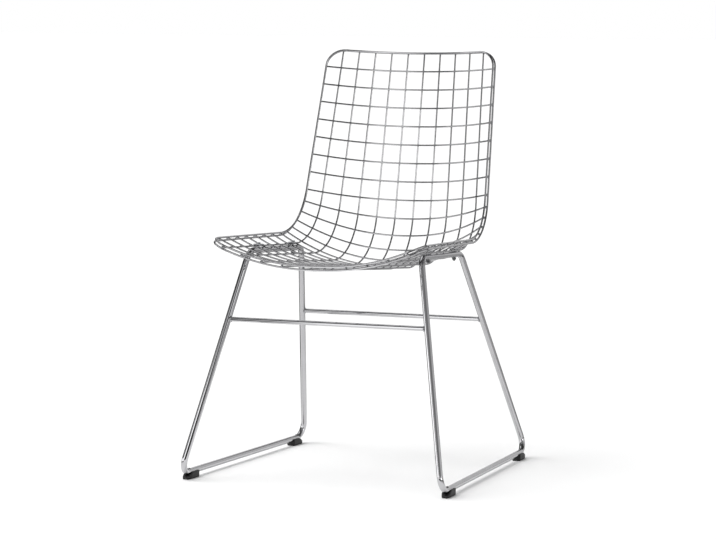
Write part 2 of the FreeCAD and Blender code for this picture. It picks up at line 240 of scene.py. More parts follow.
def colour(name, value, description):
    return FloatVectorProperty(
        name=name,
        description=description,
        default=value,
        size=3,
        subtype="COLOR",
        min=0.0,
        max=1.0,
    )


class ShellSizes(PropertyGroup):
    mesh_wire: length("Mesh wire", 3.3, "Thickness of the mesh wires")
    rim_wire: length("Rim wire", 3.8, "Thickness of the two rim wires")
    rim_spacing: length("Rim spacing", 6.8, "Between the centres of the two rim wires")
    weld_gap: length("Weld gap", 0.25, "Clearance that the frame's solids keep at a weld")
    mesh_rows: count("Mesh rows", 22, "Pitches from the top rim to the front rim")
    long_wires: count("Long wires", 10, "Wires down the back and under the seat")
    side_gap: length("Side gap", 28.9, "Outermost long wire to the side rim")
    long_crowding: plain("Crowding", 0.04, "How much the long wires crowd to the sides")
    rim_corner: length("Rim corner", 34.0, "Corner radius of the rims")
    half_top: length("Half width, top", 181.1, "Half width at the top of the back")
    half_front: length("Half width, front", 219.6, "Half width at the seat's front")
    dish_power: plain("Dish", 2.2, "How the hollow of the shell grows to its sides")
    seat_front: length("Seat front", 250.3, "Front rim ahead of the origin")
    mid_top: length("Middle top", 812.0, "Height of the middle of the top rim")
    mid_corner_y: length("Middle corner Y", 183.9, "Where the middle lines meet")
    mid_corner_z: length("Middle corner Z", 382.5, "Where the middle lines meet")
    mid_lean: angle("Middle lean", 11.6, "Lean of the middle of the back")
    mid_rise: angle("Middle rise", 5.0, "Rise of the middle of the seat")
    mid_bend: length("Middle bend", 115.0, "Bend radius at the middle")
    mid_bend_row: plain("Middle bend row", 8.9, "Row where the middle bend starts")
    mid_seat_row: plain("Middle seat row", 13.45, "Row where the middle bend ends")
    side_top: length("Side top", 819.5, "Height of the side lines at the top")
    side_corner_y: length("Side corner Y", 136.0, "Where the side lines meet")
    side_corner_z: length("Side corner Z", 450.6, "Where the side lines meet")
    side_lean: angle("Side lean", 16.2, "Lean of the sides of the back")
    side_rise: angle("Side rise", 2.5, "Rise of the sides of the seat")
    side_bend: length("Side bend", 111.0, "Bend radius at the sides")
    side_bend_row: plain("Side bend row", 8.07, "Row where the side bend starts")
    side_seat_row: plain("Side seat row", 14.1, "Row where the side bend ends")


class SledSizes(PropertyGroup):
    rod: length("Sled rod", 12.0, "Rod of the two sled frames")
    bend: length("Sled bend", 24.0, "Bend radius at the rod's centre")
    foot_front: length("Front foot", 278.5, "Front corner ahead of the origin")
    foot_rear: length("Rear foot", 258.3, "Rear corner behind the origin")
    foot_half_rear: length("Rear half width", 244.7, "Half width between rear corners")
    rail_front: length("Rail front", 152.2, "Front end of the rail ahead of the origin")
    rail_rear: length("Rail rear", 78.7, "Rear end of the rail behind the origin")
    inset_rear: length("Rear inset", 5.4, "Rail inboard of the outermost wire, behind")
    inset_front: length("Front inset", 7.1, "Rail inboard of the outermost wire, ahead")
    stretcher: length("Stretcher", 9.0, "Rod of the stretchers")
    stretcher_front: length("Front stretcher", 309.0, "Height of the front stretcher")
    stretcher_rear: length("Rear stretcher", 290.9, "Height of the rear stretcher")


class FittingSizes(PropertyGroup):
    glide_length: length("Glide length", 42.0, "Glide along the runner")
    glide_width: length("Glide width", 17.0, "Glide across the runner")
    glide_base: length("Glide base", 7.5, "Plastic under the runner")
    glide_wrap: length("Glide wrap", 6.5, "Rise of the glide beside the rod")
    glide_setback: length("Glide setback", 41.0, "Glide's middle from the corner")
    glide_toe: length("Glide toe", 4.5, "Thickness of the glide under the bend")
    clamp_front_row: plain("Front clamp row", 18.4, "Mesh row of the front clamps")
    clamp_rear_row: plain("Rear clamp row", 14.4, "Mesh row of the rear clamps")
    clamp_length: length("Clamp length", 22.0, "Clamp plate along the rail")
    clamp_width: length("Clamp width", 15.0, "Clamp plate across the rail")
    clamp_thick: length("Clamp thickness", 2.5, "Clamp plate thickness")
    screw: length("Screw", 4.0, "Clamp screw shank")
    head_across: length("Head across flats", 7.0, "Screw head and cap nut")
    head_height: length("Head height", 2.6, "Screw head")
    nut_height: length("Nut height", 6.5, "Cap nut")


class Finishes(PropertyGroup):
    chrome: colour("Chrome", (0.604, 0.602, 0.618), "Bright plate on wires and rods")
    weld: colour("Weld", (0.52, 0.525, 0.54), "Plate over the weld beads")
    zinc: colour("Zinc", (0.55, 0.56, 0.58), "Clamp plates, screws and nuts")
    plastic: colour("Plastic", (0.012, 0.012, 0.013), "Moulded glides")
    floor: colour("Floor", (0.86, 0.86, 0.86), "Floor under the chair")


def all_sizes(context):
    scene = context.scene
    return scene.chair_shell, scene.chair_sleds, scene.chair_fittings


# The curved shell


LINE_SIZES = ("top", "corner_y", "corner_z", "lean", "rise", "bend", "bend_row", "seat_row")


def profile(s, line, v):
    """Y and Z at row v of the mid or side line: a straight back, one arc and a straight seat."""
    top, corner_y, corner_z, lean, rise, bend, bend_row, seat_row = [
        getattr(s, "%s_%s" % (line, name)) for name in LINE_SIZES
    ]
    turn = math.pi / 2.0 - lean + rise
    tangent = bend * math.tan(turn / 2.0)
    if v <= bend_row:
        back = (top - corner_z) / math.cos(lean) - tangent
        up = tangent + back * (bend_row - v) / bend_row
        return corner_y + up * math.sin(lean), corner_z + up * math.cos(lean)
    if v >= seat_row:
        seat = (corner_y + s.seat_front) / math.cos(rise) - tangent
        out = tangent + seat * (v - seat_row) / (s.mesh_rows - seat_row)
        return corner_y - out * math.cos(rise), corner_z + out * math.sin(rise)
    start_y = corner_y + tangent * math.sin(lean)
    start_z = corner_z + tangent * math.cos(lean)
    centre_y = start_y - bend * math.cos(lean)
    centre_z = start_z + bend * math.sin(lean)
    way = lean + turn * (v - bend_row) / (seat_row - bend_row)
    return centre_y + bend * math.cos(way), centre_z - bend * math.sin(way)


def half_width(s, v):
    return s.half_top + (s.half_front - s.half_top) * v / s.mesh_rows


def shell_point(s, u, v):
    """The shell at row v and at share u of its half width, from -1 left to 1 right."""
    mid_y, mid_z = profile(s, "mid", v)
    side_y, side_z = profile(s, "side", v)
    blend = abs(u) ** s.dish_power
    y = mid_y + (side_y - mid_y) * blend
    z = mid_z + (side_z - mid_z) * blend
    return Vector((u * half_width(s, v), y, z))


def shell_across(s, u, v):
    """From left to right along the shell."""
    return shell_point(s, u + SLOPE_STEP, v) - shell_point(s, u - SLOPE_STEP, v)


def shell_normal(s, u, v):
    """Square to the shell, towards the sitter."""
    down = shell_point(s, u, v + SLOPE_STEP) - shell_point(s, u, v - SLOPE_STEP)
    return down.cross(shell_across(s, u, v)).normalized()


def layer_point(s, u, v, height):
    return shell_point(s, u, v) + shell_normal(s, u, v) * height


def wire_layer(s):
    """How far the middle of either layer of wires lies from the shell."""
    return (s.mesh_wire + s.weld_gap) / 2.0


def long_share(s, number, v):
    """Share of the half width of a long wire, counted from 1 at the left."""
    gaps = (s.long_wires - 1) / 2.0
    place = (number - 1 - gaps) / gaps
    place *= 1.0 + s.long_crowding * (1.0 - place * place)
    return place * (half_width(s, v) - s.side_gap) / half_width(s, v)


def row_length(s, u, v, step):
    """Length of one row at u, measured from row v towards row v + step."""
    return (shell_point(s, u, v) - shell_point(s, u, v + step)).length / abs(step)


def wire_ends(s, number):
    """At each end of a long wire: its row, the step inwards, its share and the rim's inset."""
    ends = []
    for v, step in ((0, COARSE_ROW), (s.mesh_rows, -COARSE_ROW)):
        u = long_share(s, number, v)
        gap = half_width(s, v) * (1.0 - abs(u))
        ends.append((v, step, u, corner_inset(s, gap)))
    return ends


def corner_inset(s, gap):
    """How far the rim's rounded corner cuts in, for a wire this far from the side."""
    reach = s.rim_corner - gap
    if reach <= 0.0:
        return 0.0
    return s.rim_corner - math.sqrt(s.rim_corner**2 - reach**2)


def fine_rows(s, start, end):
    """Rows from start to end, close together in the bend."""
    rows = [start]
    row = 0.0
    while row < end:
        is_bend = s.side_bend_row - COARSE_ROW < row < s.side_seat_row + COARSE_ROW
        if start + END_ROOM < row < end - END_ROOM:
            rows.append(row)
        row += FINE_ROW if is_bend else COARSE_ROW
    return rows + [end]


# Sled geometry


def rail_point(s, d, v, inset):
    """Rod centre just under the cross wires, inboard of the outermost right wire."""
    share = long_share(s, s.long_wires, v)
    x = layer_point(s, share, v, -wire_layer(s)).x - inset
    below = (d.rod + s.mesh_wire) / 2.0 + s.weld_gap - wire_layer(s)
    spot = layer_point(s, share, v, -below)
    for attempt in range(4):
        share += (x - spot.x) / half_width(s, v)
        spot = layer_point(s, share, v, -below)
    return spot


def sled_corners(s, d, f, side):
    """The four corners of a sled's flat loop, at the rod's centre."""
    bend_end = max(s.mid_seat_row, s.side_seat_row)
    a = rail_point(s, d, bend_end + RAIL_AFTER_BEND, d.inset_rear)
    b = rail_point(s, d, s.mesh_rows - RAIL_BEFORE_RIM, d.inset_front)
    floor_z = f.glide_base + d.rod / 2.0
    rail_front = a + (b - a) * ((-d.rail_front - a.y) / (b.y - a.y))
    rail_rear = a + (b - a) * ((d.rail_rear - a.y) / (b.y - a.y))
    foot_rear = Vector((d.foot_half_rear, d.foot_rear, floor_z))
    plane = (rail_rear - rail_front).cross(foot_rear - rail_front)
    foot_front = Vector((d.foot_half_rear, -d.foot_front, floor_z))
    foot_front.x += plane.dot(rail_front - foot_front) / plane.x
    found = {
        "rail_front": rail_front,
        "rail_rear": rail_rear,
        "foot_rear": foot_rear,
        "foot_front": foot_front,
    }
    return {name: Vector((side * p.x, p.y, p.z)) for name, p in found.items()}


def rounded_loop(corners, radius, steps):
    """A closed path whose corners are arcs."""
    path = []
    total = len(corners)
    for i in range(total):
        here = corners[i]
        back = (corners[i - 1] - here).normalized()
        ahead = (corners[(i + 1) % total] - here).normalized()
        turn = math.pi - back.angle(ahead)
        reach = radius * math.tan(turn / 2.0)
        centre = here + (back + ahead).normalized() * (radius / math.cos(turn / 2.0))
        first = here + back * reach - centre
        axis = first.cross(here + ahead * reach - centre).normalized()
        for k in range(steps + 1):
            path.append(centre + Quaternion(axis, turn * k / steps) @ first)
    return path


# Mesh making


def path_frames(points, up, closed=False):
    """A turned frame at each point, its Z axis along the path, that never twists."""
    total = len(points)
    tangents = []
    for i in range(total):
        if closed:
            before, after = points[i - 1], points[(i + 1) % total]
        else:
            before, after = points[max(i - 1, 0)], points[min(i + 1, total - 1)]
        tangents.append((after - before).normalized())
    z = tangents[0]
    x = up.cross(z).normalized()
    turned = Matrix((x, z.cross(x), z)).transposed()
    turns = [turned]
    for before, after in zip(tangents, tangents[1:]):
        turns.append(before.rotation_difference(after).to_matrix() @ turns[-1])
    twist = 0.0
    if closed:
        last = tangents[-1].rotation_difference(z).to_matrix() @ turns[-1]
        twist = math.atan2(last.col[0].dot(turned.col[1]), last.col[0].dot(turned.col[0]))
    frames = []
    for i in range(total):
        spin = Matrix.Rotation(-twist * i / total, 3, "Z")
        frames.append(Matrix.Translation(points[i]) @ (turns[i] @ spin).to_4x4())
    return frames


def grow_ring(bm, edges, frames):
    """Extrude a ring of edges from frame to frame and return its last ring."""
    for before, after in zip(frames, frames[1:]):
        grown = bmesh.ops.extrude_edge_only(bm, edges=edges)["geom"]
        verts = [g for g in grown if isinstance(g, bmesh.types.BMVert)]
        fresh = set(verts)
        edges = [
            g for g in grown
            if isinstance(g, bmesh.types.BMEdge) and fresh.issuperset(g.verts)
        ]
        bmesh.ops.transform(bm, matrix=after @ before.inverted(), verts=verts)
    return edges


def edges_of(verts):
    return list(dict.fromkeys(e for v in verts for e in v.link_edges))


def sharp_edges(bm, limit):
    """The edges whose two faces turn by more than this angle."""
    return [
        e for e in bm.edges if len(e.link_faces) == 2 and e.calc_face_angle() > limit
    ]


def round_edges(bm, edges, size, segments, clamp=False):
    bmesh.ops.bevel(
        bm, geom=edges, offset=size, segments=segments, profile=0.5, affect="EDGES",
        material=-1, clamp_overlap=clamp,
    )


def add_rod(bm, points, diameter, sides, up, closed=False):
    """A round rod along a path, closed into a loop or with flat cut ends."""
    frames = path_frames(points, up, closed)
    ring = bmesh.ops.create_circle(
        bm, cap_ends=False, segments=sides, radius=diameter / 2.0, matrix=frames[0]
    )["verts"]
    first = edges_of(ring)
    last = grow_ring(bm, list(first), frames)
    if closed:
        bmesh.ops.bridge_loops(bm, edges=first + last)
        return
    for edges in (first, last):
        bmesh.ops.edgeloop_fill(bm, edges=edges)
        for edge in edges:
            edge.smooth = False


def finish_piece(bm, name, kind, nodes=()):
    """Make an object at the origin from the mesh, to stand for these nodes."""
    bmesh.ops.recalc_face_normals(bm, faces=bm.faces)
    for face in bm.faces:
        face.smooth = True
    mesh = bpy.data.meshes.new(name)
    bm.to_mesh(mesh)
    bm.free()
    mesh.materials.append(finish(kind))
    piece = bpy.data.objects.new(name, mesh)
    bpy.context.scene.collection.objects.link(piece)
    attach(piece, "root")
    if nodes:
        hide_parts(*nodes)


def rod_piece(node, tail, slot, points, diameter, sides, up, closed=False):
    """A chromed round rod along a path, to stand for one node."""
    bm = bmesh.new()
    add_rod(bm, points, diameter, sides, up, closed)
    finish_piece(bm, node + tail, slot + "_chrome", [node])


def sharpen(bm, limit):
    """Mark the edges that turn by more than this angle, so that they shade crisp."""
    for edge in sharp_edges(bm, limit):
        edge.smooth = False


def add_bead(bm, frame_at, size):
    """A small weld bead, size being its three half axes."""
    scale = Matrix.Diagonal(Vector((*size, 1.0)))
    bmesh.ops.create_uvsphere(
        bm, u_segments=BEAD_SIDES, v_segments=BEAD_RINGS, radius=1.0, matrix=frame_at @ scale
    )


def facing(spot, z, x):
    """A frame at the spot with its Z axis along z and its X axis near x."""
    z = z.normalized()
    y = z.cross(x).normalized()
    turned = Matrix((y.cross(z), y, z)).transposed()
    return Matrix.Translation(spot) @ turned.to_4x4()


def lift(height):
    return Matrix.Translation((0.0, 0.0, height))


# Materials


def new_material(name):
    material = bpy.data.materials.new(name)
    material.use_nodes = True
    tree = material.node_tree
    shader = tree.nodes["Principled BSDF"]
    where = tree.nodes.new("ShaderNodeTexCoord")
    return material, tree, shader, where.outputs["Object"]


def feed(tree, socket, value):
    """Link the socket to a value of the tree, or set it to a constant."""
    if isinstance(value, bpy.types.NodeSocket):
        tree.links.new(value, socket)
    else:
        socket.default_value = value


def set_inputs(tree, node, values):
    for name, value in values.items():
        feed(tree, node.inputs[name], value)


def new_node(tree, kind, values):
    """A shader node with these inputs linked or set."""
    node = tree.nodes.new("ShaderNode" + kind)
    set_inputs(tree, node, values)
    return node


def combine(tree, operation, a, b):
    node = tree.nodes.new("ShaderNodeMath")
    node.operation = operation
    for socket, value in zip(node.inputs, (a, b)):
        feed(tree, socket, value)
    return node.outputs["Value"]


def plus(tree, a, b):
    return combine(tree, "ADD", a, b)


def times(tree, a, b):
    return combine(tree, "MULTIPLY", a, b)


def split_axes(tree, where):
    split = new_node(tree, "SeparateXYZ", {"Vector": where})
    return [split.outputs[axis] for axis in "XYZ"]


def add_noise(tree, where, scale, detail, stretch=(1.0, 1.0, 1.0)):
    mapping = new_node(tree, "Mapping", {"Vector": where, "Scale": stretch})
    spot = mapping.outputs["Vector"]
    noise = new_node(tree, "TexNoise", {"Vector": spot, "Scale": scale, "Detail": detail})
    return noise.outputs["Fac"]


def add_range(tree, value, low, high, out_low=0.0, out_high=1.0):
    ends = {"From Min": low, "From Max": high, "To Min": out_low, "To Max": out_high}
    return new_node(tree, "MapRange", {"Value": value, **ends}).outputs["Result"]


def add_blend(tree, share, low, high):
    node = tree.nodes.new("ShaderNodeMix")
    node.data_type = "RGBA"
    set_inputs(tree, node, {"A": low, "B": high, "Factor": share})
    return node.outputs["Result"]


def add_bump(tree, shader, height, strength, distance):
    values = {"Height": height, "Strength": strength, "Distance": distance}
    bump = new_node(tree, "Bump", values)
    tree.links.new(bump.outputs["Normal"], shader.inputs["Normal"])


def shade(tint, share=1.0):
    """This share of a colour, with an alpha of 1."""
    return (*(c * share for c in tint[:3]), 1.0)


def add_tone(tree, shader, share, tint, darker):
    """Base colour from the tint down to a darker share of it."""
    tone = add_blend(tree, share, shade(tint), shade(tint, darker))
    tree.links.new(tone, shader.inputs["Base Color"])


def chrome_material(name, tint, smear, dull, polish):
    """Bright plate: a mirror with faint haze, handling smears and polishing waves."""
    material, tree, shader, where = new_material(name)
    cloud = add_noise(tree, where, smear, 4.0)
    add_tone(tree, shader, add_range(tree, cloud, 0.35, 0.7), tint, 0.93)
    haze = add_range(tree, cloud, 0.35, 0.75, dull, dull * 2.4)
    set_inputs(tree, shader, {"Metallic": 1.0, "Roughness": haze})
    waves = add_noise(tree, where, polish, 2.0, (1.0, 1.0, 0.4))
    add_bump(tree, shader, waves, strength=0.12, distance=0.00006)
    return material


def weld_material(name, tint):
    """Plate over a weld, rippled and a little duller."""
    material, tree, shader, where = new_material(name)
    spots = add_noise(tree, where, 900.0, 3.0)
    add_tone(tree, shader, add_range(tree, spots, 0.3, 0.7), tint, 0.72)
    rough = add_range(tree, spots, 0.3, 0.7, 0.16, 0.34)
    set_inputs(tree, shader, {"Metallic": 1.0, "Roughness": rough})
    add_bump(tree, shader, spots, strength=0.5, distance=0.0002)
    return material


def zinc_material(name, tint, metal):
    """Plated steel with a fine brushed grain and a mottled bloom."""
    material, tree, shader, where = new_material(name)
    grain = add_noise(tree, where, 2200.0, 2.0, (1.0, 0.08, 1.0))
    bloom = add_noise(tree, where, 260.0, 4.0)
    add_tone(tree, shader, add_range(tree, bloom, 0.35, 0.7), tint, 0.7)
    rough = add_range(tree, grain, 0.25, 0.75, 0.22, 0.42)
    set_inputs(tree, shader, {"Metallic": metal, "Roughness": rough})
    add_bump(tree, shader, grain, strength=0.35, distance=0.00005)
    return material


def plastic_material(name, tint):
    """Moulded plastic with a fine spark texture, scuffed grey near the floor."""
    material, tree, shader, where = new_material(name)
    scuffs = add_noise(tree, where, 700.0, 5.0, (1.0, 0.3, 1.0))
    height = split_axes(tree, where)[2]
    low = add_range(tree, height, 0.0, 0.004, 0.75, 0.0)
    worn = add_range(tree, scuffs, 0.5, 0.7)
    scuffed = times(tree, low, worn)
    tone = add_blend(tree, scuffed, shade(tint), SCUFF)
    grain = add_noise(tree, where, 2600.0, 2.0)
    rough = add_range(tree, grain, 0.3, 0.7, 0.38, 0.58)
    values = {"Base Color": tone, "Roughness": rough, "Specular IOR Level": 0.4}
    set_inputs(tree, shader, values)
    add_bump(tree, shader, grain, strength=0.4, distance=0.00008)
    return material


def finish(kind):
    """The material of this kind, made once."""
    made = bpy.data.materials.get(kind)
    if made is not None:
        return made
    tints = bpy.context.scene.chair_finishes
    if kind in CHROMES:
        share, smear, dull, polish = CHROMES[kind]
        return chrome_material(kind, shade(tints.chrome, share), smear, dull, polish)
    if kind in ZINCS:
        share, metal = ZINCS[kind]
        return zinc_material(kind, shade(tints.zinc, share), metal)
    if kind == "weld_plate":
        return weld_material(kind, tints.weld)
    return plastic_material(kind, tints.plastic)


# Operators


class CHAIR_OT_long_wires(Operator):
    """Bend the long wires down the back and forward under the seat"""

    bl_idname = "chair.long_wires"
    bl_label = "Long Wires"

    def execute(self, context):
        s = context.scene.chair_shell
        for number in range(1, s.long_wires + 1):
            top, low = [
                (inset - s.mesh_wire / 4.0) / row_length(s, u, v, step)
                for v, step, u, inset in wire_ends(s, number)
            ]
            points = [
                layer_point(s, long_share(s, number, v), v, -wire_layer(s))
                for v in fine_rows(s, top, s.mesh_rows - low)
            ]
            node = "long_wire_%02d" % number
            rod_piece(node, "_round", "mesh_wire", points, s.mesh_wire, MESH_SIDES, RIGHT)
        return {"FINISHED"}


class CHAIR_OT_cross_wires(Operator):
    """Lay the cross wires on the long wires, on the sitter's side"""

    bl_idname = "chair.cross_wires"
    bl_label = "Cross Wires"

    def execute(self, context):
        s = context.scene.chair_shell
        for v in range(1, s.mesh_rows):
            points = [
                layer_point(s, 2.0 * k / CROSS_STEPS - 1.0, v, wire_layer(s))
                for k in range(CROSS_STEPS + 1)
            ]
            node = "cross_wire_%02d" % v
            up = shell_normal(s, -1.0, v)
            rod_piece(node, "_round", "mesh_wire", points, s.mesh_wire, MESH_SIDES, up)
        return {"FINISHED"}


def rim_path(s, height):
    """The closed line of a rim wire, at this height over the shell."""
    rows = s.mesh_rows
    corner = s.rim_corner
    turns = [math.pi / 2.0 * k / RIM_CORNER_STEPS for k in range(RIM_CORNER_STEPS + 1)]
    pitch = row_length(s, 1.0, rows, -COARSE_ROW)
    top_pitch = row_length(s, 1.0, 0.0, COARSE_ROW)
    # X and row of the right half, from the middle of the seat's front to the top's middle
    straight = half_width(s, rows) - corner
    half = [(straight * k / RIM_END_STEPS, rows) for k in range(RIM_END_STEPS)]
    for a in turns:
        v = rows - corner * (1.0 - math.cos(a)) / pitch
        half.append((half_width(s, v) - corner * (1.0 - math.sin(a)), v))
    inner = fine_rows(s, corner / top_pitch, rows - corner / pitch)
    half += [(half_width(s, v), v) for v in reversed(inner[1:-1])]
    for a in turns:
        v = corner * (1.0 - math.sin(a)) / top_pitch
        half.append((half_width(s, v) - corner * (1.0 - math.cos(a)), v))
    straight = half_width(s, 0.0) - corner
    half += [(straight * k / RIM_END_STEPS, 0.0) for k in reversed(range(RIM_END_STEPS))]
    right = [layer_point(s, x / half_width(s, v), v, height) for x, v in half]
    left = [Vector((-p.x, p.y, p.z)) for p in reversed(right[1:-1])]
    return right + left


class CHAIR_OT_rims(Operator):
    """Close the mesh between two rim wires"""

    bl_idname = "chair.rims"
    bl_label = "Rims"

    def execute(self, context):
        s = context.scene.chair_shell
        for node, side in (("rim_front", 1.0), ("rim_back", -1.0)):
            path = rim_path(s, side * s.rim_spacing / 2.0)
            rod_piece(node, "_round", "rim_wire", path, s.rim_wire, RIM_SIDES, UP, True)
        return {"FINISHED"}


class CHAIR_OT_welds(Operator):
    """Put a small bead at every crossing and where the wires meet the rims"""

    bl_idname = "chair.welds"
    bl_label = "Welds"

    def execute(self, context):
        s = context.scene.chair_shell
        bm = bmesh.new()
        size = [share * s.mesh_wire for share in CROSSING_BEAD]
        for v in range(1, s.mesh_rows):
            for number in range(1, s.long_wires + 1):
                u = long_share(s, number, v)
                across = shell_across(s, u, v)
                add_bead(bm, facing(shell_point(s, u, v), shell_normal(s, u, v), across), size)
        finish_piece(bm, "crossing_welds", "weld_plate")

        bm = bmesh.new()
        measures = (s.mesh_wire, s.mesh_wire, s.rim_spacing)
        size = [share * whole for share, whole in zip(RIM_BEAD, measures)]
        for v in range(1, s.mesh_rows):
            for side in (-1.0, 1.0):
                lower = shell_point(s, side, v + BEAD_STEP)
                along = lower - shell_point(s, side, v - BEAD_STEP)
                spot = layer_point(s, side, v, wire_layer(s) * SIDE_BEAD_RISE)
                add_bead(bm, facing(spot, shell_normal(s, side, v), along), size)
        for number in range(1, s.long_wires + 1):
            for v, step, u, inset in wire_ends(s, number):
                end = v + math.copysign(inset / row_length(s, u, v, step), step)
                spot = layer_point(s, u, end, wire_layer(s) * END_BEAD_RISE)
                across = shell_across(s, u, end)
                add_bead(bm, facing(spot, shell_normal(s, u, end), across), size)
        finish_piece(bm, "rim_welds", "weld_plate")
        return {"FINISHED"}


class CHAIR_OT_sleds(Operator):
    """Bend the two closed sled frames"""

    bl_idname = "chair.sleds"
    bl_label = "Sled Frames"

    def execute(self, context):
        s, d, f = all_sizes(context)
        for name, side in SIDES:
            corners = list(sled_corners(s, d, f, side).values())
            path = rounded_loop(corners, d.bend, SLED_BEND_STEPS)
            node = "sled_" + name
            rod_piece(node, "_bent", "frame_rod", path, d.rod, ROD_SIDES, RIGHT, True)
        return {"FINISHED"}


def stretcher_ends(s, d, f, end):
    """Where a stretcher's centre line meets the centre lines of the two legs."""
    corners = sled_corners(s, d, f, 1.0)
    top = corners["rail_" + end]
    foot = corners["foot_" + end]
    z = d.stretcher_front if end == "front" else d.stretcher_rear
    right = foot + (top - foot) * ((z - foot.z) / (top.z - foot.z))
    return Vector((-right.x, right.y, right.z)), right


class CHAIR_OT_stretchers(Operator):
    """Weld the two stretchers between the legs"""

    bl_idname = "chair.stretchers"
    bl_label = "Stretchers"

    def execute(self, context):
        s, d, f = all_sizes(context)
        beads = bmesh.new()
        inner = RIGHT * (d.rod * STRETCHER_END)
        for end in ("front", "rear"):
            left, right = stretcher_ends(s, d, f, end)
            points = [left + inner, left.lerp(right, 0.5), right - inner]
            node = "stretcher_" + end
            rod_piece(node, "_rod", "frame_rod", points, d.stretcher, ROD_SIDES, UP)
            for middle, way in ((left, 1.0), (right, -1.0)):
                centre = middle + RIGHT * (way * d.rod * STRETCHER_WELD)
                rim = centre + UP * (d.stretcher / 2.0)
                ring = bmesh.ops.create_circle(
                    beads, cap_ends=False, segments=WELD_SIDES,
                    radius=d.stretcher * WELD_RADIUS,
                    matrix=facing(rim, Vector((0.0, 1.0, 0.0)), RIGHT),
                )["verts"]
                bmesh.ops.spin(
                    beads, geom=ring + edges_of(ring), cent=centre, axis=RIGHT,
                    dvec=(0.0, 0.0, 0.0), angle=math.tau, steps=WELD_STEPS, use_merge=True,
                )
        bmesh.ops.remove_doubles(beads, verts=beads.verts, dist=0.00001)
        finish_piece(beads, "stretcher_welds", "weld_plate")
        return {"FINISHED"}


def glide_frame(s, d, f, side, end):
    """A frame on the floor under a glide, its Y axis towards the nearer corner."""
    corners = sled_corners(s, d, f, side)
    corner = corners["foot_" + end]
    other = corners["foot_rear" if end == "front" else "foot_front"]
    out = (corner - other).normalized()
    middle = corner - out * f.glide_setback
    turned = Matrix((out.cross(UP), out, UP)).transposed()
    return Matrix.Translation((middle.x, middle.y, 0.0)) @ turned.to_4x4()


def glide_height(f, y):
    """Top of a glide at y along it: level, then sloping down to a thin toe."""
    full = f.glide_base + f.glide_wrap
    level = f.glide_length * GLIDE_LEVEL
    share = (y - level) / (f.glide_length / 2.0 - level)
    return full + (f.glide_toe - full) * min(max(share, 0.0), 1.0)


def glide_outline(f):
    """X and Z round the outside of a glide, from one lip of its channel to the other."""
    half = f.glide_width / 2.0
    foot = half - GLIDE_CHAMFER
    top = f.glide_base + f.glide_wrap
    right = [(half, top), (half, GLIDE_CHAMFER), (foot, 0.0)]
    return right + [(-x, z) for x, z in reversed(right)]


def glide_mesh(f, rod):
    """A block along Y with a channel for the rod, its toe thin and rounded."""
    start = -f.glide_length / 2.0
    centre_z = f.glide_base + rod / 2.0
    top = f.glide_base + f.glide_wrap
    radius = rod / 2.0 + GLIDE_FIT
    lip = math.sqrt(radius**2 - (top - centre_z) ** 2)
    fall = math.pi + 2.0 * math.asin((top - centre_z) / radius)
    bm = bmesh.new()
    # the channel under the rod, then the outside back to where it began
    first = bm.verts.new((-lip, start, top))
    swung = bmesh.ops.spin(
        bm, geom=[first], cent=(0.0, start, centre_z), axis=(0.0, -1.0, 0.0),
        dvec=(0.0, 0.0, 0.0), angle=fall, steps=GLIDE_STEPS, use_merge=False,
    )["geom_last"]
    tip = [g for g in swung if isinstance(g, bmesh.types.BMVert)][0]
    for x, z in glide_outline(f):
        tip = bmesh.ops.extrude_vert_indiv(bm, verts=[tip])["verts"][0]
        tip.co = (x, start, z)
    bm.edges.new((tip, first))
    ring = list(bm.edges)
    frames = [
        Matrix.Translation((0.0, start + f.glide_length * k / GLIDE_STEPS, 0.0))
        for k in range(GLIDE_STEPS + 1)
    ]
    last = grow_ring(bm, list(ring), frames)
    bmesh.ops.edgeloop_fill(bm, edges=ring)
    bmesh.ops.edgeloop_fill(bm, edges=last)
    for vert in bm.verts:
        vert.co.z = min(vert.co.z, glide_height(f, vert.co.y))
        reach = (vert.co.y - f.glide_length * TAPER_START) / (f.glide_length * TAPER_SPAN)
        vert.co.x *= 1.0 - TAPER * max(reach, 0.0) ** 2
    bmesh.ops.recalc_face_normals(bm, faces=bm.faces)
    round_edges(bm, sharp_edges(bm, GLIDE_ROUND), GLIDE_EDGE, 2, clamp=True)
    return bm


class CHAIR_OT_glides(Operator):
    """Mould the four glides under the runners"""

    bl_idname = "chair.glides"
    bl_label = "Glides"

    def execute(self, context):
        s, d, f = all_sizes(context)
        for end, side_name, side in CORNERS:
            bm = glide_mesh(f, d.rod)
            bmesh.ops.transform(bm, matrix=glide_frame(s, d, f, side, end), verts=bm.verts)
            sharpen(bm, GLIDE_CRISP)
            node = "glide_%s_%s" % (end, side_name)
            finish_piece(bm, node + "_shoe", "glide_plastic", [node])
        return {"FINISHED"}


def add_dome(bm, place, radius, height, rings=DOME_RINGS):
    """Half an ellipsoid that stands on the frame's XY plane."""
    flat = Matrix.Diagonal(Vector((radius, radius, height, 1.0)))
    dome = bmesh.ops.create_uvsphere(
        bm, u_segments=DOME_SIDES, v_segments=rings, radius=1.0, matrix=place @ flat
    )["verts"]
    faces = list(dict.fromkeys(x for v in dome for x in v.link_faces))
    cut = bmesh.ops.bisect_plane(
        bm, geom=dome + edges_of(dome) + faces, plane_co=place.translation,
        plane_no=place.to_3x3().col[2], clear_inner=True,
    )["geom_cut"]
    bmesh.ops.edgeloop_fill(bm, edges=[g for g in cut if isinstance(g, bmesh.types.BMEdge)])


